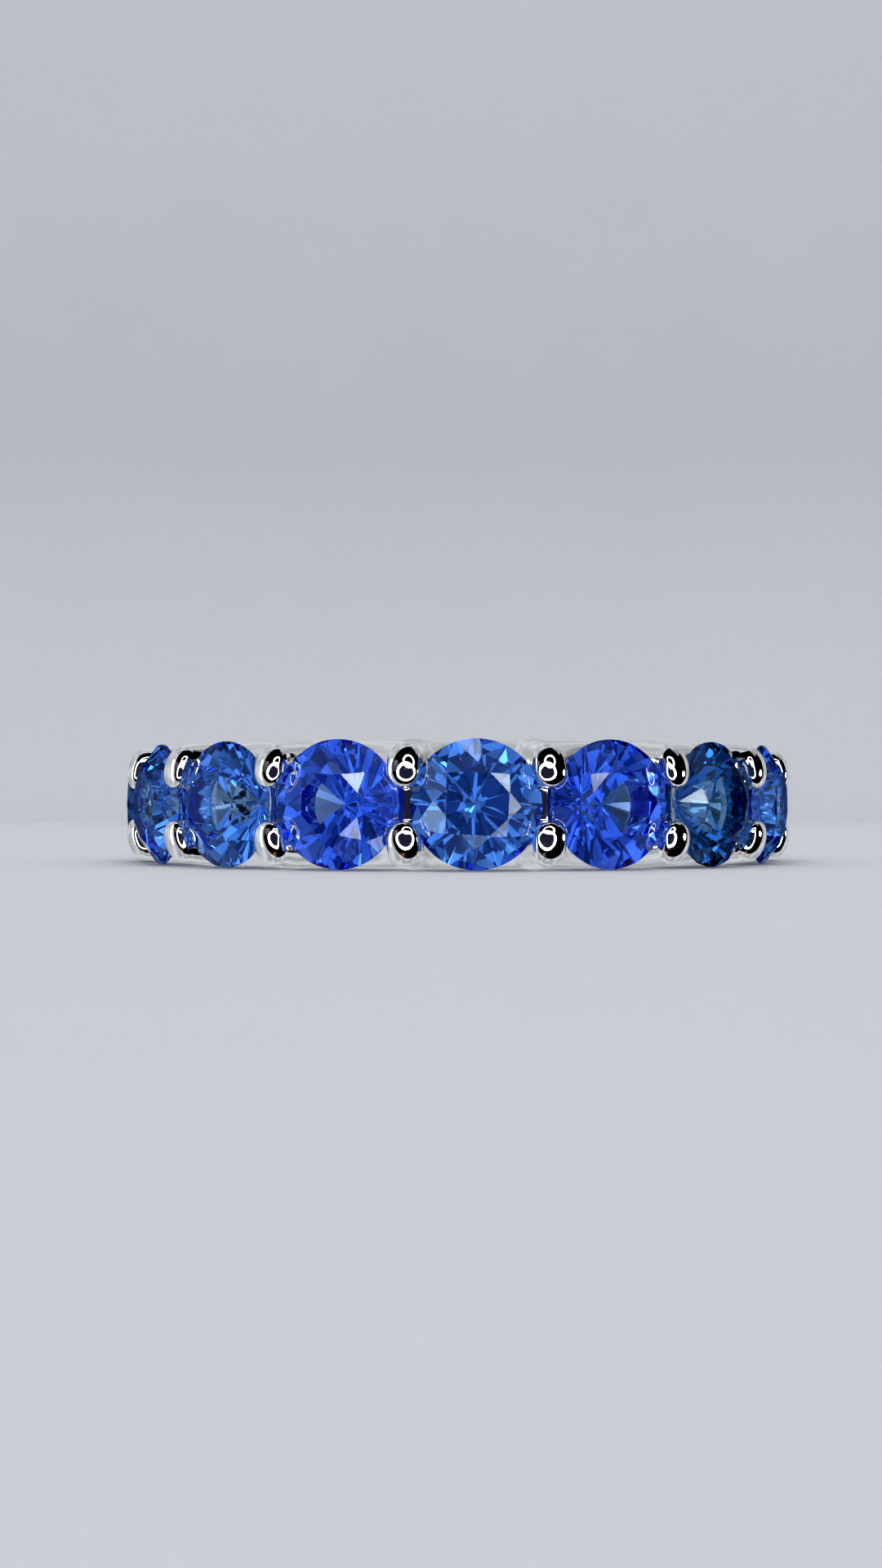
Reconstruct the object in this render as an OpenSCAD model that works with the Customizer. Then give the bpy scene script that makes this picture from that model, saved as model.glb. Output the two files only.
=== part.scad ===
// Full eternity ring: round sapphires held by shared prongs, in a white gold band.
// Millimetres. The ring lies on its side: its axis is +Z, the band's lower side is at z = 0,
// and the first stone faces -Y. The other stones follow anticlockwise, seen from above.

/* [Ring] */
// Inside diameter of the ring
bore_d = 17; // [16.8:0.1:17.4]
// Width of the band, along the ring's axis
band_w = 3.84; // [3.84:0.02:4.1]
// Rounding of the two inside edges
bore_round = 0.3; // [0.2:0.05:0.4]
// Metal left between the finger and the tip of each stone
culet_cover = 0.2; // [0.15:0.05:0.3]
// Radius from the ring's axis to the top of the shoulders between the stones
shoulder_r = 10.05; // [9.9:0.05:10.1]
// Radius of the rounding from the band's side to its shoulders
shoulder_round = 1.1; // [0.9:0.05:1.2]
// Distance from the top of the shoulders down to that rounding's centre
shoulder_drop = 0.75; // [0.7:0.05:0.8]

/* [Stones] */
// Diameter of every stone at its girdle
stone_d = 3.8; // [3.65:0.05:3.8]
// Height of the crown above the girdle, as a share of the diameter
crown_share = 0.155; // [0.14:0.005:0.165]
// Depth of the pavilion below the girdle, as a share of the diameter
pavilion_share = 0.43; // [0.41:0.005:0.44]
// Thickness of the girdle
girdle_h = 0.11; // [0.1:0.01:0.14]
// Reach of the star facets from the table's edge towards the girdle
star_share = 0.36; // [0.3:0.02:0.5]
// Reach of the lower girdle facets from the girdle towards the tip
lower_share = 0.8; // [0.7:0.02:0.85]

/* [Prongs] */
// Radius of a prong's round head
prong_head_r = 0.48; // [0.46:0.01:0.5]
// Radius of a prong at its foot
prong_foot_r = 0.56; // [0.54:0.01:0.6]
// Radius of the bend at a prong's back, where it leans in over the stones
prong_bend_r = 0.9; // [0.85:0.01:0.92]
// Radius from the ring's axis to the top of a prong
prong_top_r = 11.1; // [11:0.02:11.14]
// Radius from the ring's axis to a prong's foot
prong_foot_at = 9.25; // [9.1:0.05:9.4]
// Radius from the ring's axis to the top of the bar that joins two prongs
bar_top_r = 10.32; // [10.2:0.02:10.4]
// Half the length of that bar
bar_half = 0.85; // [0.75:0.05:0.95]

/* [Cuts] */
// Radius of the round scallop under each stone's edge
scallop_r = 1.75; // [1.65:0.05:1.8]
// Thickness of the band under a scallop
scallop_floor = 0.8; // [0.7:0.05:0.9]
// Radius of the light hole under each stone
light_hole_r = 0.75; // [0.6:0.05:0.8]
// Clearance between a stone and the metal round it
fit_gap = 0.03; // [0.02:0.01:0.04]

/* [Hidden] */
$fn = 96;

TURN = 0;
TABLE = 1;
SHADE = 2;
// One row for each stone, from the front one: its turn about its own axis in degrees, its table's
// width as a share of the girdle, and its shade of blue
STONES = [
    [ -5, 0.52, "cornflower"],
    [ 12, 0.60, "royal"],
    [-20, 0.55, "inky"],
    [  8, 0.54, "cornflower"],
    [-12, 0.52, "royal"],
    [ 17, 0.58, "cornflower"],
    [ -3, 0.54, "royal"],
    [ 21, 0.56, "inky"],
    [ -9, 0.53, "cornflower"],
    [ 14, 0.55, "royal"],
    [-16, 0.57, "royal"],
    [  4, 0.53, "cornflower"],
    [-22, 0.55, "inky"],
    [ 10, 0.56, "cornflower"],
    [-14, 0.54, "cornflower"],
    [  0, 0.50, "royal"]
];
SHADES = [
    ["cornflower", [0.10, 0.28, 0.75]],
    ["royal", [0.05, 0.14, 0.72]],
    ["inky", [0.04, 0.13, 0.38]]
];
stone_count = len(STONES);
stone_step = 360 / stone_count;
front_angle = -90;

function stone_name(i) = str("sapphire_", i < 9 ? "0" : "", i + 1);

bore_r = bore_d / 2;
band_mid = band_w / 2;
stone_r = stone_d / 2;
crown_h = crown_share * stone_d;
pavilion_h = pavilion_share * stone_d;
girdle_half = girdle_h / 2;
// Distance from the ring's axis to the plane of each girdle
girdle_at = bore_r + culet_cover + pavilion_h + girdle_half;
// The bend's centre, and how far the middle of the prong lies from it
prong_bend_at = prong_top_r - prong_bend_r;
prong_swing = prong_bend_r - prong_head_r;
prong_foot_z = band_mid - prong_foot_r;
prong_head_z = prong_foot_z - prong_swing;
scallop_at = bore_r + scallop_floor + scallop_r;
overrun = 1;

// A round brilliant: 8 mains and 16 girdle facets on each side, 8 stars and a table
FACETS = 8;
facet_step = 360 / FACETS;
GIRDLE_SIDES = 4 * FACETS;
pavilion_tan = pavilion_h / stone_r;

// The height at (x, y) of the plane through three points
function plane_height(a, b, c, x, y) =
    let (n = cross(b - a, c - a))
    a.z - (n.x * (x - a.x) + n.y * (y - a.y)) / n.z;
function ring_point(radius, angle, height) = [radius * cos(angle), radius * sin(angle), height];

// A girdle edge: at a main's tip and half way between two it lies at `height`, and between
// those on the plane of the girdle facet, whose inner corner is at `inner_r` and `inner_h`
function girdle_edge(inner_r, inner_h, height) = [
    for (j = [0:GIRDLE_SIDES - 1])
        let (angle = j * 360 / GIRDLE_SIDES,
             tip = round(angle / facet_step) * facet_step,
             side = angle < tip ? -1 : 1,
             corner = ring_point(inner_r, tip + side * facet_step / 2, inner_h),
             main_end = ring_point(stone_r, tip, height),
             middle_end = ring_point(stone_r, tip + side * facet_step / 2, height),
             p = ring_point(stone_r, angle, height))
        [p.x, p.y, plane_height(corner, main_end, middle_end, p.x, p.y)]
];

function ring_of(count, radius, start, height) = [
    for (k = [0:count - 1]) ring_point(radius, start + k * 360 / count, height)
];

module brilliant(table_share) {
    table_r = table_share * stone_r;
    crown_tan = crown_h / (stone_r - table_r);
    apothem = table_r * cos(facet_step / 2);
    star_r = apothem + star_share * (stone_r - apothem);
    star_h = girdle_half + crown_h - (star_r * cos(facet_step / 2) - table_r) * crown_tan;
    lower_r = stone_r * (1 - lower_share);
    lower_h = -girdle_half - (stone_r - lower_r * cos(facet_step / 2)) * pavilion_tan;

    tables = 0;
    stars = tables + FACETS;
    tops = stars + FACETS;
    bottoms = tops + GIRDLE_SIDES;
    lowers = bottoms + GIRDLE_SIDES;
    culet = lowers + FACETS;
    points = concat(
        ring_of(FACETS, table_r, 0, girdle_half + crown_h),
        ring_of(FACETS, star_r, facet_step / 2, star_h),
        girdle_edge(star_r, star_h, girdle_half),
        girdle_edge(lower_r, lower_h, -girdle_half),
        ring_of(FACETS, lower_r, facet_step / 2, lower_h),
        [[0, 0, -girdle_half - pavilion_h]]
    );
    function around(start, count, k) = start + (k + count) % count;
    faces = concat(
        [[for (k = [FACETS - 1:-1:0]) tables + k]],
        [for (k = [0:FACETS - 1]) each [
            [around(tables, FACETS, k), around(tables, FACETS, k + 1), stars + k],
            [around(tables, FACETS, k), stars + k, tops + 4 * k, around(stars, FACETS, k - 1)],
            [stars + k, tops + 4 * k + 2, tops + 4 * k + 1, tops + 4 * k],
            [stars + k, around(tops, GIRDLE_SIDES, 4 * k + 4), tops + 4 * k + 3, tops + 4 * k + 2],
            [culet, around(lowers, FACETS, k - 1), bottoms + 4 * k, lowers + k],
            [lowers + k, bottoms + 4 * k, bottoms + 4 * k + 1, bottoms + 4 * k + 2],
            [lowers + k, bottoms + 4 * k + 2, bottoms + 4 * k + 3, around(bottoms, GIRDLE_SIDES, 4 * k + 4)]
        ]],
        [for (j = [0:GIRDLE_SIDES - 1])
            [tops + j, around(tops, GIRDLE_SIDES, j + 1),
             around(bottoms, GIRDLE_SIDES, j + 1), bottoms + j]]
    );
    polyhedron(points, faces);
}

// Stands its children on stone i's seat, with their +Z pointing out of the ring
module at_stone(i) {
    rotate([0, 0, front_angle + i * stone_step])
        translate([girdle_at, 0, band_mid])
            rotate([0, 90, 0])
                children();
}

module sapphire(i) {
    shade = STONES[i][SHADE];
    color(SHADES[search([shade], SHADES)[0]][1])
        at_stone(i)
            rotate([0, 0, facet_step / 2 + STONES[i][TURN]])
                brilliant(STONES[i][TABLE]);
}

// The room that a stone takes in the metal, which clears the corners between its facets
module stone_room() {
    steepest_crown = 0.95;
    room_r = stone_r + fit_gap;
    crown_top = girdle_half + crown_h + fit_gap;
    rotate_extrude()
        polygon([
            [0, -girdle_half - pavilion_h - 2 * fit_gap],
            [room_r, -girdle_half],
            [room_r, girdle_half + fit_gap],
            [room_r - crown_h / steepest_crown, crown_top],
            [0, crown_top]
        ]);
}

// What a rounding takes off a corner: a square past it, less the circle that stays
module corner_off(centre, radius, out) {
    difference() {
        translate([min(0, out.x) * (radius + overrun), min(0, out.y) * (radius + overrun)] + centre)
            square(radius + overrun);
        translate(centre)
            circle(radius);
    }
}

module band_section() {
    difference() {
        translate([bore_r, -band_mid])
            square([shoulder_r - bore_r, band_w]);
        for (side = [-1, 1]) {
            corner_off([bore_r + bore_round, side * (band_mid - bore_round)], bore_round, [-1, side]);
            corner_off([shoulder_r - shoulder_drop, side * (band_mid - shoulder_round)],
                       shoulder_round, [1, side]);
        }
    }
}

// The raised rib round the middle of the band, which the stones' seats cut into short bars
module bar_section() {
    translate([bore_r + bore_round, -bar_half])
        square([bar_top_r - bore_r - bore_round, 2 * bar_half]);
}

// A post that stands on the band's side, bends in towards the middle and ends in a round head
module prong(side) {
    translate([0, 0, band_mid])
        mirror([0, 0, side > 0 ? 0 : 1]) {
            translate([prong_foot_at, 0, prong_foot_z])
                rotate([0, 90, 0])
                    cylinder(r1 = prong_foot_r, r2 = prong_head_r, h = prong_bend_at - prong_foot_at);
            translate([prong_bend_at, 0, prong_head_z]) {
                rotate([90, 0, 0])
                    rotate_extrude(angle = 90)
                        intersection() {
                            translate([prong_swing, 0])
                                circle(prong_head_r);
                            translate([0, -prong_head_r])
                                square([prong_bend_r, 2 * prong_head_r]);
                        }
                translate([prong_swing, 0, 0])
                    sphere(prong_head_r);
            }
        }
}

module setting() {
    color([0.82, 0.82, 0.84])
        difference() {
            union() {
                difference() {
                    translate([0, 0, band_mid])
                        rotate_extrude() {
                            band_section();
                            bar_section();
                        }
                    for (i = [0:stone_count - 1])
                        rotate([0, 0, front_angle + i * stone_step])
                            translate([scallop_at, 0, -overrun])
                                cylinder(r = scallop_r, h = band_w + 2 * overrun);
                }
                for (i = [0:stone_count - 1])
                    for (side = [-1, 1])
                        rotate([0, 0, front_angle + (i + 0.5) * stone_step])
                            prong(side);
            }
            for (i = [0:stone_count - 1])
                at_stone(i) {
                    stone_room();
                    translate([0, 0, bore_r - girdle_at - overrun])
                        cylinder(r = light_hole_r, h = scallop_floor + 2 * overrun);
                }
        }
}

setting();
for (i = [0:stone_count - 1])
    sapphire(i);
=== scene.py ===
"""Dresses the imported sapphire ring: a polished setting, sixteen cut sapphires and their studio."""

import math

import bmesh
import bpy
import numpy as np
from mathutils import Matrix, Vector


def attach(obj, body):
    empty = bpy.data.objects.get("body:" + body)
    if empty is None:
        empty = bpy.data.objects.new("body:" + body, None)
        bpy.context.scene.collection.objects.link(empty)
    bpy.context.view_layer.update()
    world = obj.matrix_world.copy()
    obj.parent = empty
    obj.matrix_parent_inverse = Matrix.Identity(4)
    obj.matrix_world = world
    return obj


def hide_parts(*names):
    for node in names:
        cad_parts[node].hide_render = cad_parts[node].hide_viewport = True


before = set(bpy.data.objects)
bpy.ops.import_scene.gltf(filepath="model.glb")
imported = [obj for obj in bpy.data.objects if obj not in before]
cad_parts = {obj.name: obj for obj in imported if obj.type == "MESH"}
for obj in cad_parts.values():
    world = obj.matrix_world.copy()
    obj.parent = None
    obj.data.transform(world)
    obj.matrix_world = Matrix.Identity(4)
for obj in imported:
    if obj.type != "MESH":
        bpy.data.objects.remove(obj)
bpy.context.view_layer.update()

MM = 0.001

# The setting's own sizes, in millimetres
BORE_R = 8.5
HALF_WIDTH = 1.92
BORE_ROUND = 0.3
SHOULDER_R = 10.05
SHOULDER_TILT = math.radians(57)
SHOULDER_FROM_Z = 1.15
BAR_TOP_R = 10.25
BAR_HALF = 0.85
SCALLOP_R = 1.75
SCALLOP_WALL = 0.8
SCALLOP_AT = BORE_R + SCALLOP_WALL + SCALLOP_R
LIGHT_HOLE_R = 0.75
ROOM_GAP = 0.03
ROOM_CROWN_SLOPE = 0.95
CENTRE = Vector((0, 0, HALF_WIDTH * MM))

# A stone's sizes, in millimetres, and how far its lower pavilion facets reach towards the culet
STONE_R = 1.9
CROWN_H = 0.155 * 2 * STONE_R
PAVILION_H = 0.43 * 2 * STONE_R
GIRDLE_HALF = 0.055
CULET_OVER_BORE = 0.2
GIRDLE_AT = BORE_R + CULET_OVER_BORE + PAVILION_H + GIRDLE_HALF
LOWER_SHARE = 0.92
FACET_DEGREES = 45
FACET_TURN = math.radians(FACET_DEGREES)

# Each stone's turn about its own axis in degrees, its table's share of the girdle, the reach of its
# star facets from the table towards the girdle, and its shade
STONES = [
    (-3, 0.52, 0.35, "cornflower"), (3, 0.53, 0.40, "royal"), (-20, 0.55, 0.36, "inky"),
    (8, 0.54, 0.38, "cornflower"), (-12, 0.52, 0.40, "royal"), (17, 0.58, 0.36, "cornflower"),
    (-3, 0.54, 0.42, "royal"), (21, 0.56, 0.38, "inky"), (-9, 0.53, 0.36, "cornflower"),
    (14, 0.55, 0.40, "royal"), (-16, 0.57, 0.38, "royal"), (4, 0.53, 0.36, "cornflower"),
    (-22, 0.55, 0.42, "inky"), (10, 0.56, 0.38, "cornflower"), (-14, 0.54, 0.36, "cornflower"),
    (-2, 0.50, 0.52, "royal"),
]
STEP = 2 * math.pi / len(STONES)
FRONT = -math.pi / 2

# A cutter's inaccuracy: how far the stone is cut inside its true size and how much deeper a facet
# tends to lie, in millimetres, and how far its plane tends to lean, in degrees. The stone is cut
# from a prism with so many sides.
CUT_INSIDE = 0.004
CUT_DEEPER = 0.003
CROWN_LEAN = 0.35
PAVILION_LEAN = 0.3
GIRDLE_SIDES = 64
FIRST_STONE_SEED = 100

# A prong: a post with an oblong section, sunk in the band, under a dome that leans over the stones
POST_HEAD_R = 0.5
POST_FOOT_R = 0.56
POST_INNER_Z = 0.97
POST_OUTER_Z = HALF_WIDTH - POST_FOOT_R
POST_FOOT_AT = 9.25
POST_SUNK = 0.3
DOME_R = 0.7
DOME_TOP_R = 11.1
DOME_Z = 0.92
DOME_FLARE = 0.16
DOME_STRETCH = 0.76
# Each prong's own small errors, by pair and by side: dome radius, height and shift along the ring
PRONG_ERRORS = np.random.default_rng(7).uniform(-1, 1, size=(len(STONES), 2, 3)) * (0.03, 0.035, 0.03)

# How far creases and edges are rounded, in millimetres. The two that hold pairs grow with the height
# over the ring's middle plane: the first pair is the heights between which they grow, and the
# second pair is their widths there.
SHOULDER_SIDE_EDGE = 0.2
SHOULDER_TOP_EDGE = 0.25
BAR_EDGE = 0.15
BAR_CREASE = 0.1
SCALLOP_EDGE = 0.45
DOME_CREASE = 0.12
ROOM_EDGE = ((0.5, 1.0), (0.06, 0.22))
PRONG_CREASE = ((0.6, 1.1), (0.04, 0.18))
PRONG_ROOM_EDGE = 0.05
LIGHT_HOLE_EDGE = 0.06

# The polisher's waviness, in millimetres: its height, its wave, how far out from the bore it starts,
# and over how much more it grows to its full height
HAND = 0.011
HAND_WAVE = 0.7
HAND_SEED = 3
HAND_FROM = 0.3
HAND_RISE = 0.5

# The grid of the setting's mesh, as spans of (start, end, step) in millimetres: along the ring from
# the middle of a pair of prongs, at a radius of ten; out from the axis; up from the middle plane
ALONG = [(0, 0.9, 0.054), (0.9, 1.2, 0.078)]
ALONG_THE_REST = 0.12
OUTWARD = [(8.41, 9.3, 0.15), (9.3, 9.7, 0.08), (9.7, 11.2, 0.061)]
UPWARD = [(0, 0.4, 0.1), (0.4, 1.99, 0.061)]

# Where that mesh is thinned, in millimetres: so far out from the bore; so deep under the flat sides
# and out to a radius; and in the seats, so far under the girdle's plane and inside its edge. The
# rims of the light holes keep their mesh, so far out from the bore and from the hole.
PLAIN_BORE = 0.5
PLAIN_SIDE = 0.02
PLAIN_SIDE_R = 9.8
PLAIN_SEAT_BELOW = 0.25
PLAIN_SEAT_INSIDE = 0.15
RIM_DEPTH = 0.1
RIM_WIDTH = 0.15
MOST_TRIANGLES = 197000

# How far the mesh stays inside the flat sides, and the reach of the slopes that give its normals
BOX_MARGIN = 0.0002
NORMAL_REACH = 0.012


def smooth_max(a, b, soft):
    """The larger of two distances, with the crease between them rounded over `soft` millimetres."""
    near = np.clip(soft - np.abs(a - b), 0, None) / soft
    return np.maximum(a, b) + near * near * soft / 4


def smooth_min(a, b, soft):
    """The smaller of two distances, with the crease between them rounded in the same way."""
    return -smooth_max(-a, -b, soft)


def wobble(p, wave, seed):
    """A smooth random field over points, from -1 to 1, made of sine waves in random directions."""
    draw = np.random.default_rng(seed)
    total = np.zeros(len(p))
    waves = 7
    shortest, longest = 0.7, 1.4
    for _ in range(waves):
        direction = draw.normal(size=3)
        direction *= 2 * math.pi / wave / np.linalg.norm(direction) * draw.uniform(shortest, longest)
        total += np.sin(p @ direction + draw.uniform(0, 2 * math.pi))
    return total / waves


def ring_places(p):
    """Radii of points, turns from the front in stones, and angles from the nearest pair and stone."""
    radius = np.hypot(p[:, 0], p[:, 1])
    turn = (np.arctan2(p[:, 1], p[:, 0]) - FRONT) / STEP
    from_pair = (turn % 1.0 - 0.5) * STEP
    from_stone = STEP / 2 - np.abs(from_pair)
    return radius, turn, from_pair, from_stone


def band_distance(radius, z):
    """The band: its bore with rounded edges, its flat sides and its roof-like shoulders."""
    side = z - HALF_WIDTH
    edge_r, edge_z = BORE_R + BORE_ROUND - radius, side + BORE_ROUND
    rounded = (edge_r > 0) & (edge_z > 0)
    inside = np.where(rounded, np.hypot(edge_r, edge_z) - BORE_ROUND, np.maximum(BORE_R - radius, side))
    top = radius - SHOULDER_R
    roof = top * math.cos(SHOULDER_TILT) + (z - SHOULDER_FROM_Z) * math.sin(SHOULDER_TILT)
    outside = smooth_max(smooth_max(roof, side, SHOULDER_SIDE_EDGE), top, SHOULDER_TOP_EDGE)
    return np.maximum(inside, outside)


def bar_distance(post_x, radius, z):
    """The flat-topped bar between the two prongs of a pair."""
    bar = smooth_max(post_x - BAR_TOP_R, z - BAR_HALF, BAR_EDGE)
    return np.maximum(bar, BORE_R + BORE_ROUND - radius)


def prong_distance(post_x, post_y, z, errors):
    """A prong, at places outward from the axis, along the ring and up, with its own small errors."""
    grown, lifted, shifted = errors
    climb = np.clip((post_x - POST_FOOT_AT) / (DOME_TOP_R - DOME_R - POST_FOOT_AT), 0, 1)
    post_r = POST_FOOT_R + (POST_HEAD_R - POST_FOOT_R) * climb
    past_z = np.maximum(np.maximum(POST_INNER_Z - z, z - POST_OUTER_Z), 0)
    post = np.hypot(post_y, past_z) - post_r
    over_dome = post_x - DOME_TOP_R + DOME_R
    flare = DOME_R + grown + DOME_FLARE * np.maximum(-over_dome, 0)
    past_foot = np.maximum(over_dome, 0) + grown
    past_top = z - DOME_Z - lifted
    past_top *= np.where(past_top > 0, DOME_STRETCH, 1)
    dome = np.sqrt(past_foot ** 2 + (post_y - shifted) ** 2 + past_top ** 2) - flare
    prong = np.maximum(smooth_max(post, dome, DOME_CREASE), POST_FOOT_AT - POST_SUNK - post_x)
    return np.maximum(prong, z - HALF_WIDTH)


def room_distance(outward, across):
    """A stone's room in the metal, at a height over its girdle's plane and a radius from its axis."""
    room_r = STONE_R + ROOM_GAP
    inward = room_r - across
    pavilion_slope = (PAVILION_H + 2 * ROOM_GAP) / room_r
    under = (-GIRDLE_HALF - inward * pavilion_slope - outward) / math.hypot(1, pavilion_slope)
    over = outward - GIRDLE_HALF - ROOM_GAP - inward * ROOM_CROWN_SLOPE
    over /= math.hypot(1, ROOM_CROWN_SLOPE)
    lid = outward - GIRDLE_HALF - CROWN_H - ROOM_GAP
    return np.maximum.reduce([under, across - room_r, over, lid])


def setting_distance(p):
    """Distance in millimetres from points to the setting's surface, negative in the metal."""
    radius, turn, from_pair, from_stone = ring_places(p)
    post_x, post_y = radius * np.cos(from_pair), radius * np.sin(from_pair)
    stone_x, stone_y = radius * np.cos(from_stone), radius * np.sin(from_stone)
    z = np.abs(p[:, 2])
    across = np.hypot(stone_y, z)

    scallop = SCALLOP_R - np.hypot(stone_x - SCALLOP_AT, stone_y)
    body = smooth_min(band_distance(radius, z), bar_distance(post_x, radius, z), BAR_CREASE)
    body = smooth_max(body, scallop, SCALLOP_EDGE)
    errors = PRONG_ERRORS[np.floor(turn).astype(int) % len(STONES), (p[:, 2] > 0).astype(int)]
    prong = prong_distance(post_x, post_y, z, errors.T)
    room = -room_distance(stone_x - GIRDLE_AT, across)

    metal = smooth_max(body, room, np.interp(z, *ROOM_EDGE))
    metal = smooth_min(metal, prong, np.interp(z, *PRONG_CREASE))
    metal = smooth_max(metal, room, PRONG_ROOM_EDGE)
    metal = smooth_max(metal, LIGHT_HOLE_R - across, LIGHT_HOLE_EDGE)
    wavy = np.clip((radius - BORE_R - HAND_FROM) / HAND_RISE, 0, 1)
    return metal + HAND * wobble(p, HAND_WAVE, HAND_SEED) * wavy


def slope(distance, p, reach=0.004):
    """The gradient of a distance function, by central differences."""
    rises = [distance(p + reach * axis) - distance(p - reach * axis) for axis in np.eye(3)]
    return np.stack(rises, axis=1) / (2 * reach)


def settle(distance, p):
    """Moves points along the gradient onto the surface, in two short moves."""
    furthest = 0.05
    least_steep = 0.25
    for _ in range(2):
        way = slope(distance, p)
        steep = np.maximum((way ** 2).sum(axis=1), least_steep)
        p = p - way * np.clip(distance(p) / steep, -furthest, furthest)[:, None]
    return p


def from_cylinder(q):
    """Points from their turns, radii and heights."""
    return np.stack([q[:, 1] * np.cos(q[:, 0]), q[:, 1] * np.sin(q[:, 0]), q[:, 2]], axis=1)


def crossed_cells(values):
    """Which cells of a grid the surface crosses, and the middle of its crossings as shares of the cell."""
    cells = tuple(n - 1 for n in values.shape)
    crossings = np.zeros(cells)
    place = np.zeros(cells + (3,))

    def corner(offset):
        return values[tuple(slice(o, o + n) for o, n in zip(offset, cells))]

    for axis in range(3):
        b, c = (axis + 1) % 3, (axis + 2) % 3
        for at_b, at_c in ((0, 0), (0, 1), (1, 0), (1, 1)):
            start = [0, 0, 0]
            start[b], start[c] = at_b, at_c
            end = list(start)
            end[axis] = 1
            v0, v1 = corner(start), corner(end)
            crossed = (v0 < 0) != (v1 < 0)
            crossings += crossed
            place[..., axis] += np.where(crossed, v0 / np.where(crossed, v0 - v1, 1), 0)
            place[..., b] += crossed * at_b
            place[..., c] += crossed * at_c
    used = crossings > 0
    return used, place[used] / crossings[used][:, None]


def net_quads(inside, number):
    """Quads round the grid edges that the surface crosses, from the numbers of their cells' vertices."""
    quads = []
    for axis in range(3):
        b, c = (axis + 1) % 3, (axis + 2) % 3
        here, there = inside, np.roll(inside, -1, axis)
        if axis > 0:
            but_last = [slice(None)] * 3
            but_last[axis] = slice(0, -1)
            here, there = here[tuple(but_last)], there[tuple(but_last)]
        edge = np.argwhere(here != there)
        out = here[tuple(edge.T)]
        around = []
        for back_b, back_c in ((1, 1), (0, 1), (0, 0), (1, 0)):
            cell = edge.copy()
            cell[:, b] -= back_b
            cell[:, c] -= back_c
            cell[:, 0] %= len(number)
            around.append(number[tuple(cell.T)])
        around = np.stack(around, axis=1)
        around[out] = around[out][:, ::-1]
        quads.append(around)
    return np.concatenate(quads)


def surface_nets(distance, turns, radii, heights):
    """Vertices and quads of a surface on a grid of cylinder coordinates that closes on itself."""
    grid = np.stack(np.meshgrid(turns, radii, heights, indexing="ij"), axis=-1).reshape(-1, 3)
    values = distance(from_cylinder(grid)).reshape(len(turns), len(radii), len(heights))
    used, share = crossed_cells(np.concatenate([values, values[:1]]))
    cell = np.argwhere(used)
    lines = [np.append(turns, turns[0] + 2 * math.pi), radii, heights]
    places = [line[cell[:, k]] + share[:, k] * (line[cell[:, k] + 1] - line[cell[:, k]])
              for k, line in enumerate(lines)]
    number = np.cumsum(used.ravel()).reshape(used.shape) - 1
    return from_cylinder(np.stack(places, axis=1)), net_quads(values < 0, number)


def spaced(spans):
    """Grid lines over spans of (start, end, step), each with its own step."""
    lines = [np.linspace(a, b, max(1, round((b - a) / step)), endpoint=False) for a, b, step in spans]
    return np.concatenate(lines + [[spans[-1][1]]])


def turn_lines():
    """The grid's turns, all round the ring: close over the prongs, wider towards the stones."""
    half = STEP / 2
    radius = 10
    per_mm = 1 / radius
    spans = [(start * per_mm, end * per_mm, step * per_mm) for start, end, step in ALONG]
    spans.append((spans[-1][1], half, ALONG_THE_REST * per_mm))
    fine = spaced(spans)
    pitch = np.concatenate([half - fine[::-1], (half + fine)[1:-1]])
    return np.concatenate([FRONT + k * STEP + pitch for k in range(len(STONES))])


def mesh_object(name, points, faces):
    """An object from points in millimetres about the ring's centre, and lists of corners."""
    mesh = bpy.data.meshes.new(name)
    places = [tuple(p) for p in points * MM + np.array(CENTRE)]
    mesh.from_pydata(places, [], [tuple(f) for f in faces])
    mesh.update()
    made = bpy.data.objects.new(name, mesh)
    bpy.context.collection.objects.link(made)
    return made


def plain_vertices(points):
    """The numbers of the vertices on the bore, the flat sides and the seats, but not on the rims."""
    radius, _, _, from_stone = ring_places(points)
    across = np.hypot(radius * np.sin(from_stone), points[:, 2])
    below = radius * np.cos(from_stone) < GIRDLE_AT - PLAIN_SEAT_BELOW
    side = (np.abs(points[:, 2]) > HALF_WIDTH - PLAIN_SIDE) & (radius < PLAIN_SIDE_R)
    seat = below & (across < STONE_R - PLAIN_SEAT_INSIDE)
    rim = (radius < BORE_R + RIM_DEPTH) & (across < LIGHT_HOLE_R + RIM_WIDTH)
    return np.flatnonzero(((radius < BORE_R + PLAIN_BORE) | side | seat) & ~rim).tolist()


def thinned(made, plain):
    """The object's mesh, with fewer triangles among its plain vertices."""
    made.vertex_groups.new(name="plain").add(plain, 1.0, "REPLACE")
    thin = made.modifiers.new("thin", "DECIMATE")
    thin.vertex_group = "plain"
    thin.ratio = min(1, MOST_TRIANGLES / (2 * len(made.data.polygons)))
    shaped = bpy.data.meshes.new_from_object(made.evaluated_get(bpy.context.evaluated_depsgraph_get()))
    made.modifiers.clear()
    return shaped


def follow_surface(mesh, distance):
    """Settles a mesh's vertices on a surface, and gives them its own normals."""
    flat = np.empty(len(mesh.vertices) * 3)
    mesh.vertices.foreach_get("co", flat)
    points = settle(distance, (flat.reshape(-1, 3) - np.array(CENTRE)) / MM)
    highest = HALF_WIDTH - BOX_MARGIN
    points[:, 2] = np.clip(points[:, 2], -highest, highest)
    mesh.vertices.foreach_set("co", (points * MM + np.array(CENTRE)).ravel())
    mesh.update()
    normals = slope(distance, points, NORMAL_REACH)
    shortest = 1e-6
    normals /= np.maximum(np.linalg.norm(normals, axis=1), shortest)[:, None]
    mesh.polygons.foreach_set("use_smooth", [True] * len(mesh.polygons))
    mesh.normals_split_custom_set_from_vertices([tuple(n) for n in normals])


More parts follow.
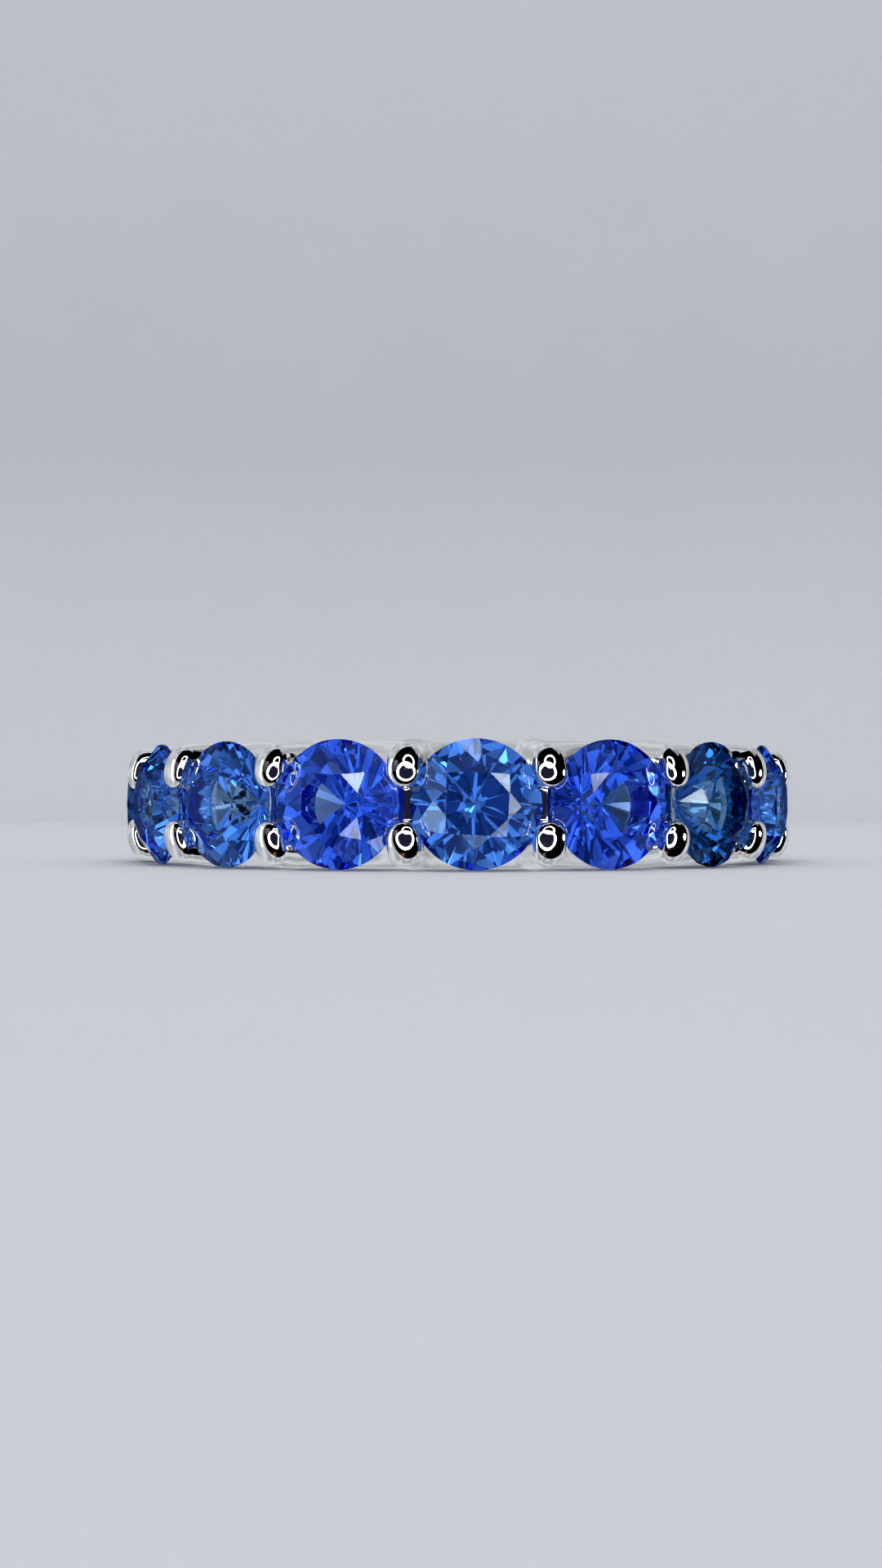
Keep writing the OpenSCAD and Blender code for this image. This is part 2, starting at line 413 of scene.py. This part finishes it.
def build_setting():
    """The setting as one closed mesh, close over the prongs and thinned where it is plain."""
    up = spaced(UPWARD)
    heights = np.concatenate([-up[:0:-1], up])
    points, quads = surface_nets(setting_distance, turn_lines(), spaced(OUTWARD), heights)
    points = settle(setting_distance, points)
    made = mesh_object("ring_setting", points, quads)
    made.data = thinned(made, plain_vertices(points))
    follow_surface(made.data, setting_distance)
    triangles = sum(len(face.vertices) - 2 for face in made.data.polygons)
    print("setting triangles", triangles, "from", 2 * len(quads))
    return made


def outward_plane(a, b, c):
    """The plane through three points as (point, normal), with its normal away from the stone's middle."""
    normal = (b - a).cross(c - a).normalized()
    middle = (a + b + c) / 3
    if normal.dot(middle) < 0:
        normal.negate()
    return middle, normal


def facet_planes(table_share, star_share):
    """The planes of a round brilliant, as (point, normal), in its own frame: +Z out of the ring."""
    half_facet = math.cos(FACET_TURN / 2)
    top = GIRDLE_HALF + CROWN_H
    culet = Vector((0, 0, -GIRDLE_HALF - PAVILION_H))
    table_r = table_share * STONE_R
    crown_tan = CROWN_H / (STONE_R - table_r)
    pavilion_tan = PAVILION_H / STONE_R
    apothem = table_r * half_facet
    star_r = apothem + star_share * (STONE_R - apothem)
    star_h = top - (star_r * half_facet - table_r) * crown_tan
    lower_r = STONE_R * (1 - LOWER_SHARE)
    lower_h = -GIRDLE_HALF - (STONE_R - lower_r * half_facet) * pavilion_tan

    def at(radius, facets, height):
        angle = facets * FACET_TURN
        return Vector((radius * math.cos(angle), radius * math.sin(angle), height))

    planes = []
    for k in range(360 // FACET_DEGREES):
        table, next_table = at(table_r, k, top), at(table_r, k + 1, top)
        star, last_star = at(star_r, k + 0.5, star_h), at(star_r, k - 0.5, star_h)
        lower, last_lower = at(lower_r, k + 0.5, lower_h), at(lower_r, k - 0.5, lower_h)
        over = [at(STONE_R, k + part, GIRDLE_HALF) for part in (0, 0.5, 1)]
        under = [at(STONE_R, k + part, -GIRDLE_HALF) for part in (0, 0.5, 1)]
        planes += [
            outward_plane(table, next_table, star),
            outward_plane(table, star, last_star),
            outward_plane(star, over[0], over[1]),
            outward_plane(star, over[1], over[2]),
            outward_plane(culet, lower, last_lower),
            outward_plane(lower, under[0], under[1]),
            outward_plane(lower, under[1], under[2]),
        ]
    return planes


def cut_prism(mesh, planes, draw):
    """Cuts a brilliant from a prism by planes that are a little out of true, as a cutter leaves them."""
    offcut = 0.1
    on_plane, one_corner, no_edge = 1e-5, 0.002, 0.001
    top, low = GIRDLE_HALF + CROWN_H, -GIRDLE_HALF - PAVILION_H - offcut
    prism_r = STONE_R - CUT_INSIDE
    bmesh.ops.create_cone(mesh, cap_ends=True, segments=GIRDLE_SIDES, radius1=prism_r, radius2=prism_r,
                          depth=top - low, matrix=Matrix.Translation((0, 0, (top + low) / 2)))
    for middle, normal in planes:
        lean = math.radians(CROWN_LEAN if normal.z > 0 else PAVILION_LEAN)
        tilt = Vector(draw.normal(size=3)) * lean
        normal = (normal + tilt.cross(normal)).normalized()
        middle = middle - normal * (CUT_INSIDE + abs(draw.normal()) * CUT_DEEPER)
        cut = bmesh.ops.bisect_plane(mesh, geom=mesh.verts[:] + mesh.edges[:] + mesh.faces[:],
                                     dist=on_plane, plane_co=middle, plane_no=normal, clear_outer=True)
        edges = [e for e in cut["geom_cut"] if isinstance(e, bmesh.types.BMEdge)]
        if len(edges) > 2:
            bmesh.ops.edgeloop_fill(mesh, edges=edges)
    bmesh.ops.remove_doubles(mesh, verts=mesh.verts[:], dist=one_corner)
    bmesh.ops.dissolve_degenerate(mesh, edges=mesh.edges[:], dist=no_edge)
    bmesh.ops.recalc_face_normals(mesh, faces=mesh.faces[:])


def stone_place(index, turn):
    """The matrix that takes a stone from its own frame, in millimetres, to its seat."""
    angle = FRONT + index * STEP
    outward = Vector((math.cos(angle), math.sin(angle), 0))
    sideways = Vector((-math.sin(angle), math.cos(angle), 0))
    own = Matrix((Vector((0, 0, -1)), sideways, outward)).transposed().to_4x4()
    spin = Matrix.Rotation(math.radians(FACET_DEGREES / 2 + turn), 4, "Z")
    return Matrix.Translation(CENTRE + outward * GIRDLE_AT * MM) @ own @ spin @ Matrix.Scale(MM, 4)


def build_stone(index):
    """One stone, the name of the node that it replaces, and its shade."""
    turn, table_share, star_share, shade = STONES[index]
    mesh = bmesh.new()
    cut_prism(mesh, facet_planes(table_share, star_share), np.random.default_rng(FIRST_STONE_SEED + index))
    bmesh.ops.transform(mesh, matrix=stone_place(index, turn), verts=mesh.verts[:])
    name = "sapphire_%02d" % (index + 1)
    data = bpy.data.meshes.new("cut_" + name)
    mesh.to_mesh(data)
    mesh.free()
    made = bpy.data.objects.new("cut_" + name, data)
    bpy.context.collection.objects.link(made)
    return made, name, shade


def new_material(name):
    """A material, its nodes, its links and its Principled shader."""
    made = bpy.data.materials.new(name)
    made.use_nodes = True
    return made, made.node_tree.nodes, made.node_tree.links, made.node_tree.nodes["Principled BSDF"]


def math_node(nodes, links, operation, first, second=None):
    """A Math node on a socket and, where it takes a second value, a number or another socket."""
    made = nodes.new("ShaderNodeMath")
    made.operation = operation
    links.new(first, made.inputs[0])
    if isinstance(second, bpy.types.NodeSocket):
        links.new(second, made.inputs[1])
    elif second is not None:
        made.inputs[1].default_value = second
    return made.outputs["Value"]


def ramp(nodes, links, value, start, end, low, high, interpolation="LINEAR"):
    """Maps a socket's span onto another, and holds it at the ends."""
    made = nodes.new("ShaderNodeMapRange")
    made.interpolation_type = interpolation
    for socket, number in zip(("From Min", "From Max", "To Min", "To Max"), (start, end, low, high)):
        made.inputs[socket].default_value = number
    links.new(value, made.inputs["Value"])
    return made.outputs["Result"]


def noise(nodes, links, where, scale, detail):
    """A noise texture over the object's own coordinates, as a socket."""
    made = nodes.new("ShaderNodeTexNoise")
    made.inputs["Scale"].default_value = scale
    made.inputs["Detail"].default_value = detail
    links.new(where.outputs["Object"], made.inputs["Vector"])
    return made.outputs["Fac"]


def from_axis(nodes, links, where):
    """The distance from the ring's axis, in metres."""
    flat = nodes.new("ShaderNodeVectorMath")
    flat.operation = "MULTIPLY"
    flat.inputs[1].default_value = (1, 1, 0)
    links.new(where.outputs["Object"], flat.inputs[0])
    length = nodes.new("ShaderNodeVectorMath")
    length.operation = "LENGTH"
    links.new(flat.outputs["Vector"], length.inputs[0])
    return length.outputs["Value"]


def from_middle(nodes, links, where):
    """The distance from the ring's middle plane, in metres."""
    split = nodes.new("ShaderNodeSeparateXYZ")
    links.new(where.outputs["Object"], split.inputs["Vector"])
    over = math_node(nodes, links, "SUBTRACT", split.outputs["Z"], HALF_WIDTH * MM)
    return math_node(nodes, links, "ABSOLUTE", over)


# How rough the gold is: where it is well and less well polished, and what the satin of the bore and
# of the shoulders adds. The satin comes on over spans of radius and of height over the middle plane,
# in metres.
WELL_POLISHED = 0.03
LESS_POLISHED = 0.09
BORE_SATIN = 0.2
BORE_SATIN_SPAN = (8.75 * MM, 8.60 * MM)
SHOULDER_SATIN = 0.14
SHOULDER_SATIN_SPAN = (10.30 * MM, 10.10 * MM)
SIDE_SATIN_SPAN = (1.10 * MM, 1.30 * MM)


def polished_gold():
    """Rhodium-plated white gold: mirror-polished prongs, satin shoulders and bore, and a few fine pits."""
    made, nodes, links, skin = new_material("white_gold_polished")
    skin.inputs["Base Color"].default_value = (0.84, 0.835, 0.83, 1)
    skin.inputs["Metallic"].default_value = 1.0
    where = nodes.new("ShaderNodeTexCoord")
    cloudy = noise(nodes, links, where, scale=900, detail=4)
    polish = ramp(nodes, links, cloudy, start=0.35, end=0.7, low=WELL_POLISHED, high=LESS_POLISHED)
    radius = from_axis(nodes, links, where)
    in_bore = ramp(nodes, links, radius, *BORE_SATIN_SPAN, 0, BORE_SATIN)
    low = ramp(nodes, links, radius, *SHOULDER_SATIN_SPAN, 0, 1)
    on_side = ramp(nodes, links, from_middle(nodes, links, where), *SIDE_SATIN_SPAN, 0, 1)
    shoulder = math_node(nodes, links, "MULTIPLY", low, on_side)
    satin = ramp(nodes, links, shoulder, 0, 1, 0, SHOULDER_SATIN)
    outside = math_node(nodes, links, "ADD", polish, satin)
    links.new(math_node(nodes, links, "ADD", outside, in_bore), skin.inputs["Roughness"])

    bump = nodes.new("ShaderNodeBump")
    bump.inputs["Strength"].default_value = 0.04
    bump.inputs["Distance"].default_value = 0.02 * MM
    links.new(noise(nodes, links, where, scale=9000, detail=3), bump.inputs["Height"])
    links.new(bump.outputs["Normal"], skin.inputs["Normal"])
    return made


# What the stones let through: the colour and strength of their absorption, per metre
SHADE_GLASS = {
    "cornflower": ((0.05, 0.48, 0.93), 640),
    "royal": ((0.01, 0.38, 0.95), 760),
    "inky": ((0.02, 0.45, 0.78), 950),
}
SAPPHIRE_IOR = 1.77


def sapphire_glass(name, tint, density):
    """Clear, nearly smooth facets over a body that takes up all but blue."""
    made, nodes, links, skin = new_material(name)
    skin.inputs["Base Color"].default_value = (1, 1, 1, 1)
    skin.inputs["Transmission Weight"].default_value = 1.0
    skin.inputs["IOR"].default_value = SAPPHIRE_IOR
    where = nodes.new("ShaderNodeTexCoord")
    cloudy = noise(nodes, links, where, scale=1500, detail=2)
    polish = ramp(nodes, links, cloudy, start=0.4, end=0.8, low=0, high=0.012)
    links.new(polish, skin.inputs["Roughness"])
    body = nodes.new("ShaderNodeVolumeAbsorption")
    body.inputs["Color"].default_value = (*tint, 1)
    body.inputs["Density"].default_value = density
    links.new(body.outputs["Volume"], nodes["Material Output"].inputs["Volume"])
    return made


def glow(name, colour, strength):
    """A light card's material. What it doesn't light looks straight through it."""
    made, nodes, links, skin = new_material(name)
    nodes.remove(skin)
    light = nodes.new("ShaderNodeEmission")
    light.inputs["Color"].default_value = (*colour, 1)
    light.inputs["Strength"].default_value = strength
    clear = nodes.new("ShaderNodeBsdfTransparent")
    both = nodes.new("ShaderNodeAddShader")
    links.new(light.outputs["Emission"], both.inputs[0])
    links.new(clear.outputs["BSDF"], both.inputs[1])
    links.new(both.outputs["Shader"], nodes["Material Output"].inputs["Surface"])
    made.cycles.emission_sampling = "NONE"
    return made


def patches(name, colour, scale, low, high, sharp=True):
    """A surround with patches of light, as a room has round the things that stand in it.

    Low and high are the strengths of the dark and the bright patches."""
    made = glow(name, colour, 1.0)
    nodes, links = made.node_tree.nodes, made.node_tree.links
    where = nodes.new("ShaderNodeTexCoord")
    cloud = noise(nodes, links, where, scale, detail=1)
    start, end = (0.42, 0.62) if sharp else (0.3, 0.7)
    level = ramp(nodes, links, cloud, start, end, low, high, "SMOOTHSTEP")
    links.new(level, nodes["Emission"].inputs["Strength"])
    return made


def paper(name, colour):
    """Matt paper with a faint grain."""
    made, nodes, links, skin = new_material(name)
    skin.inputs["Roughness"].default_value = 0.9
    skin.inputs["Specular IOR Level"].default_value = 0.1
    where = nodes.new("ShaderNodeTexCoord")
    blend = nodes.new("ShaderNodeMix")
    blend.data_type = "RGBA"
    links.new(noise(nodes, links, where, scale=60, detail=6), blend.inputs["Factor"])
    darker = 0.96
    blend.inputs["A"].default_value = (*[c * darker for c in colour], 1)
    blend.inputs["B"].default_value = (*colour, 1)
    links.new(blend.outputs["Result"], skin.inputs["Base Color"])
    return made


def studio_object(name, points, faces, material, **seen_by):
    """A staged object whose points are in metres. `seen_by` says which kinds of ray see it or not."""
    mesh = bpy.data.meshes.new(name)
    mesh.from_pydata([tuple(p) for p in points], [], faces)
    made = bpy.data.objects.new(name, mesh)
    bpy.context.collection.objects.link(made)
    made.data.materials.append(material)
    for ray, seen in seen_by.items():
        setattr(made, "visible_" + ray, seen)
    return made


# The camera looks along `AHEAD`, and `ACROSS` is to its right. It is so many millimetres back from
# the ring's centre and to the left.
CAMERA_TURN = math.radians(-92.5)
CAMERA_BACK = 67.1
CAMERA_LEFT = 0.56
AHEAD = Vector((-math.cos(CAMERA_TURN), -math.sin(CAMERA_TURN), 0))
ACROSS = Vector((math.cos(CAMERA_TURN + math.pi / 2), math.sin(CAMERA_TURN + math.pi / 2), 0))
UP = Vector((0, 0, 1))
CAMERA_AT = CENTRE - AHEAD * CAMERA_BACK * MM - ACROSS * CAMERA_LEFT * MM


def aim(right, up):
    """The direction from the ring's centre that is so many degrees right of the camera and above it."""
    a, b = math.radians(right), math.radians(up)
    return (-AHEAD * math.cos(a) + ACROSS * math.sin(a)) * math.cos(b) + UP * math.sin(b)


# What each kind of light card is seen by: mirrored in a surface, or through a stone
MIRRORED = dict(camera=False, diffuse=False, shadow=False, volume_scatter=False, transmission=False)
SEEN_THROUGH = dict(camera=False, diffuse=False, shadow=False, volume_scatter=False, glossy=False)

# How far each light card is from the ring's centre, in metres. A nearer one stands in front.
CARD_AT = {
    "pale_room": 0.095, "dim_shelf": 0.086, "warm_shelf": 0.086, "lamp_glass": 0.084,
    "ring_lamp": 0.082, "side_wall": 0.0815, "window": 0.081, "small_ring_lamp": 0.080,
    "dot_lamp": 0.078,
    "mirror_room": 0.096, "stone_window": 0.084, "low_stone_window": 0.084, "star_lamp": 0.083,
    "low_star_lamp": 0.083, "bottom_star_lamp": 0.083, "side_star_lamp": 0.083,
    "low_side_star_lamp": 0.083, "stone_skylight": 0.083, "low_side_light": 0.083,
    "stone_surround": 0.092, "right_back": 0.092, "left_back": 0.092, "wedge": 0.090,
    "sparkle": 0.088,
}


def cap(name, lit, towards, zones, start=0.0, sector=(0, 360), squash=1.0, seen_by=MIRRORED):
    """A part of a sphere round the ring's centre. Zones are (end in degrees off the axis, material).

    A sector is in degrees round the axis, from the right of `towards` over the top.
    Squash makes the part an ellipse, lower than it is wide."""
    right = UP.cross(towards).normalized()
    over = towards.cross(right).normalized()
    sides = 64
    degrees_a_row = 4
    columns = sides + 1
    points, faces, painted = [], [], []
    row = 0
    for number, (end, _) in enumerate(zones):
        rows = max(2, round((end - start) / degrees_a_row))
        for i in range(rows + 1):
            off = math.radians(start + (end - start) * i / rows)
            at = (row + i) * columns
            for k in range(columns):
                a = math.radians(sector[0] + (sector[1] - sector[0]) * k / sides)
                aside = right * math.cos(a) + over * math.sin(a) * squash
                way = towards * math.cos(off) + aside * math.sin(off)
                points.append(CENTRE + way.normalized() * CARD_AT[name])
                if i < rows and k < sides:
                    faces.append((at + k, at + k + columns, at + k + columns + 1, at + k + 1))
                    painted.append(number)
        row += rows + 1
        start = end
    made = studio_object(name, points, faces, zones[0][1], **seen_by)
    for _, material in zones[1:]:
        made.data.materials.append(material)
    made.data.polygons.foreach_set("material_index", painted)
    made.light_linking.receiver_collection = lit


def panel(name, lit, across, up, material):
    """A curved panel between two directions to the right of the camera and two above it, in degrees."""
    rows = columns = 10
    points = [CENTRE + aim(a, b) * CARD_AT[name] for b in np.linspace(*up, rows + 1)
              for a in np.linspace(*across, columns + 1)]
    faces = [(k, k + 1, k + columns + 2, k + columns + 1)
             for i in range(rows) for k in range(i * (columns + 1), i * (columns + 1) + columns)]
    made = studio_object(name, points, faces, material, **MIRRORED)
    made.light_linking.receiver_collection = lit


def group_of(name, pieces):
    """A collection of the pieces that light cards light."""
    made = bpy.data.collections.new(name)
    for piece in pieces:
        made.objects.link(piece)
    return made


def light_metal(lit):
    """What the metal mirrors: a pale room behind and beside the camera's dark corner, and the lamps."""
    white = (1, 0.99, 0.97)
    wall = (0.74, 0.78, 0.82)
    dark_corner = aim(20, 11)
    phone = aim(0, -2)
    room = patches("pale_room", wall, scale=24, low=0.5, high=1, sharp=False)
    cap("pale_room", lit, dark_corner, [(180, room)], start=81, squash=0.62)
    lamp = glow("ring_lamp", white, 8)
    cap("ring_lamp", lit, phone, [(39.4, lamp)], start=31.8, squash=0.71)
    cap("dot_lamp", lit, aim(80, 0), [(7, lamp)])
    small_lamp = glow("small_ring_lamp", white, 4)
    cap("small_ring_lamp", lit, aim(12, 31), [(23.5, small_lamp)], start=17.5, squash=0.74)
    panel("window", lit, (-80, -68), (-22, 30), glow("window", white, 1.5))
    side_wall = patches("side_wall", wall, scale=30, low=0.35, high=0.65, sharp=False)
    panel("side_wall", lit, (76, 106), (40, 68), side_wall)
    cap("lamp_glass", lit, phone, [(31, glow("lamp_glass", (0.38, 0.4, 1), 0.035))], squash=0.71)
    shelf = patches("dim_shelf", (0.85, 0.85, 0.95), scale=40, low=0.05, high=0.25, sharp=False)
    panel("dim_shelf", lit, (-62, -36), (4, 30), shelf)
    warm_shelf = patches("warm_shelf", (0.8, 0.4, 0.25), scale=60, low=0, high=0.3, sharp=False)
    panel("warm_shelf", lit, (-50, -8), (-60, -42), warm_shelf)


def light_facets(lit, left_lit, middle_lit):
    """What the stones' facets mirror. Some lamps light the left or the middle stone alone."""
    white = (0.9, 1, 0.97)
    front = aim(0, 0)
    mirror = patches("mirror_room", (0.5, 0.75, 1), scale=26, low=0, high=0.22)
    cap("mirror_room", lit, front, [(180, mirror)])
    star = patches("star_lamp", white, scale=200, low=2.6, high=6.5, sharp=False)
    cap("star_lamp", lit, front, [(39.8, star)], start=32, sector=(-3.2, 52))
    low_star = glow("low_star_lamp", (0.8, 0.95, 1), 2.4)
    cap("low_star_lamp", middle_lit, front, [(39.6, low_star)], start=34.2, sector=(-52, -3.2))
    cap("bottom_star_lamp", lit, aim(4.3, -33), [(6, glow("bottom_star_lamp", (0.4, 0.65, 1), 1.9))])
    cap("side_star_lamp", left_lit, aim(-10, 31), [(7, glow("side_star_lamp", white, 8))])
    cap("low_side_star_lamp", left_lit, aim(-10, -31), [(7, glow("low_side_star_lamp", white, 3.8))])
    panel("stone_window", lit, (-62, -43), (-5, 38), glow("stone_window", (0.5, 0.82, 1), 0.6))
    low_window = patches("low_stone_window", (0.42, 0.68, 1), scale=160, low=2, high=5.5, sharp=False)
    panel("low_stone_window", lit, (-60, -45), (-25, -10.5), low_window)
    skylight = glow("stone_skylight", (0.8, 0.92, 1), 3)
    cap("stone_skylight", lit, aim(-9, 68), [(6, skylight)])
    cap("low_side_light", left_lit, aim(20, -38.5), [(6, skylight)])


def light_through(lit, left_lit):
    """What is seen through the stones: rings of patches round the camera, a back and small lamps."""
    front = aim(0, 0)
    back_from = 100
    core = patches("core_patches", (0.45, 0.62, 1), scale=60, low=0.14, high=0.27)
    rays = patches("ray_patches", (0.9, 0.95, 0.95), scale=90, low=0.5, high=1.25)
    near = patches("near_patches", (0.85, 0.97, 0.97), scale=60, low=0.17, high=0.5)
    middle = patches("middle_patches", (0.95, 0.97, 0.92), scale=45, low=0.7, high=1.8)
    far = patches("far_patches", (0.92, 0.96, 1), scale=30, low=0.12, high=1)
    left_back = patches("left_back_patches", (0.7, 0.95, 1), scale=30, low=0.08, high=0.22)
    right_back = patches("right_back_patches", (0.85, 0.95, 1), scale=30, low=0.1, high=0.3)
    wedge = patches("wedge_patches", (0.85, 0.95, 1), scale=30, low=0.25, high=0.6)
    rings = [(11, core), (19, rays), (27, near), (38, middle), (back_from, far)]
    cap("stone_surround", lit, front, rings, seen_by=SEEN_THROUGH)
    right_half, left_half = (-90, 90), (90, 270)
    cap("right_back", lit, front, [(180, right_back)], back_from, right_half, seen_by=SEEN_THROUGH)
    cap("wedge", left_lit, front, [(180, wedge)], back_from, right_half, seen_by=SEEN_THROUGH)
    sparkle = glow("sparkle", (0.85, 0.97, 1), 5)
    sparkles = 16
    draw = np.random.default_rng(11)
    for k in range(sparkles):
        off = draw.uniform(24, 62)
        about = 2 * math.pi * (k + draw.uniform(0, 0.8)) / sparkles
        towards = aim(off * math.cos(about), off * math.sin(about))
        cap("sparkle", lit, towards, [(draw.uniform(1.2, 2.2), sparkle)], seen_by=SEEN_THROUGH)
    cap("left_back", lit, front, [(180, left_back)], back_from, left_half, seen_by=SEEN_THROUGH)


# The studio's sizes, in metres
FLOOR_R = 0.19
SWEEP_R = 0.06
WALL_TOP = 0.32
SOFTBOX_SIZE = 0.34
SOFTBOX_AT = 0.42


def build_floor():
    """A round sheet of pale paper, flat under the ring and swept up into a low wall round it."""
    bends = np.linspace(0.1, math.pi / 2, 12)
    profile = [(FLOOR_R, 0.0)]
    profile += [(FLOOR_R + SWEEP_R * math.sin(a), SWEEP_R - SWEEP_R * math.cos(a)) for a in bends]
    profile += [(FLOOR_R + SWEEP_R, WALL_TOP)]
    sides = 96
    turns = [2 * math.pi * k / sides for k in range(sides)]
    points = [Vector((0, 0, 0))]
    for r, z in profile:
        points += [Vector((r * math.cos(a), r * math.sin(a), z)) for a in turns]
    faces = []
    for k in range(sides):
        n = (k + 1) % sides
        faces.append((0, 1 + k, 1 + n))
        for row in range(len(profile) - 1):
            a, b = 1 + row * sides, 1 + (row + 1) * sides
            faces.append((a + k, b + k, b + n, a + n))
    pale = paper("pale_paper", (0.66, 0.675, 0.70))
    bowl = studio_object("paper_sweep", points, faces, pale, glossy=False, transmission=False)
    bowl.data.polygons.foreach_set("use_smooth", [True] * len(bowl.data.polygons))


def build_softbox():
    """The soft light from above that lights the floor."""
    softbox = bpy.data.lights.new("softbox", "AREA")
    softbox.shape = "RECTANGLE"
    softbox.size, softbox.size_y = SOFTBOX_SIZE, SOFTBOX_SIZE
    softbox.energy = 0.64
    held = bpy.data.objects.new("softbox", softbox)
    held.location = (0, 0, SOFTBOX_AT)
    held.visible_glossy = False
    bpy.context.collection.objects.link(held)


def build_world():
    """A pale even sky, which neither the ring's surfaces mirror nor its stones let through."""
    world = bpy.data.worlds.new("studio")
    bpy.context.scene.world = world
    world.use_nodes = True
    sky = world.node_tree.nodes["Background"]
    sky.inputs["Color"].default_value = (0.87, 0.885, 0.91, 1)
    sky.inputs["Strength"].default_value = 0.95
    world.cycles_visibility.glossy = False
    world.cycles_visibility.transmission = False


def build_camera():
    """The camera, level with the ring's middle, as in the photo."""
    lens = bpy.data.cameras.new("camera")
    lens.lens = 45.4
    lens.sensor_width = 36
    lens.clip_start, lens.clip_end = 0.001, 5
    lens.shift_y = 0.013
    camera = bpy.data.objects.new("camera", lens)
    camera.location = CAMERA_AT
    camera.rotation_mode = "QUATERNION"
    camera.rotation_quaternion = AHEAD.to_track_quat("-Z", "Y")
    bpy.context.collection.objects.link(camera)
    bpy.context.scene.camera = camera


gold = polished_gold()
ring = build_setting()
ring.data.materials.clear()
ring.data.materials.append(gold)
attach(ring, "root")
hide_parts("setting")

glasses = {shade: sapphire_glass("sapphire_" + shade, *what) for shade, what in SHADE_GLASS.items()}
stones = []
for i in range(len(STONES)):
    stone, node, shade = build_stone(i)
    stone.data.materials.append(glasses[shade])
    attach(stone, "root")
    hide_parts(node)
    stones.append(stone)

build_floor()
light_metal(group_of("metal", [ring]))
all_stones = group_of("stones", stones)
left_stone = group_of("left_stone", stones[-1:])
middle_stone = group_of("middle_stone", stones[:1])
light_facets(all_stones, left_stone, middle_stone)
light_through(all_stones, left_stone)
build_softbox()
build_world()
build_camera()
scene = bpy.context.scene
scene.view_settings.view_transform = "Standard"
scene.cycles.max_bounces = 24
scene.cycles.transmission_bounces = 24
scene.cycles.glossy_bounces = 16
scene.cycles.use_denoising = True
